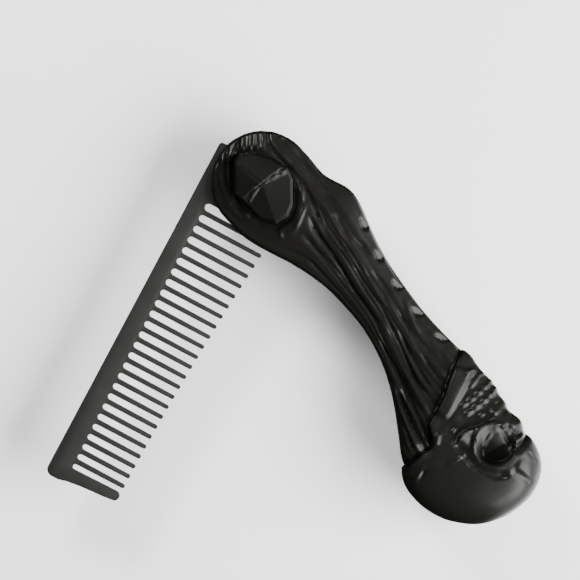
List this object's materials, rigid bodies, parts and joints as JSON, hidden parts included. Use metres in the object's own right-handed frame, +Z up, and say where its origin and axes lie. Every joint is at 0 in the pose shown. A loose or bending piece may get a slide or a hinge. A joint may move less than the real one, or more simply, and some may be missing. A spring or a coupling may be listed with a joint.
{
  "type": "folding comb",
  "caption": "Folding pocket comb: curved glossy handle with a skull and beard relief, faceted pivot studs, and a flat toothed blade that folds into a slot in the handle.",
  "frame": {"origin": "centre of the bottom of the bounding box, with the blade part-open as in the picture", "axes": "+Z up from the surface the comb lies on and along the pivot pin; the blade's plane is XY; +Y runs from the skull's end towards the pivot head"},
  "size_m": [0.1234, 0.0982, 0.0242],
  "materials": {
    "handle_black": "glossy moulded plastic",
    "blade_grey": "matte moulded plastic",
    "stud_black": "glossy faceted plastic",
    "pin_steel": "plain steel pin"
  },
  "bodies": {
    "handle_body": {"handle": "handle_black", "pivot_pin": "pin_steel", "pivot_cap_front": "stud_black", "pivot_cap_back": "stud_black"},
    "blade_body": {"comb_blade": "blade_grey"}
  },
  "joints": [
    {"name": "fold", "type": "hinge", "parent": "handle_body", "child": "blade_body", "pos_m": [-0.00795, 0.03552, 0.0121], "axis": [0, 0, 1], "range_deg": [-116, 64]}
  ]
}
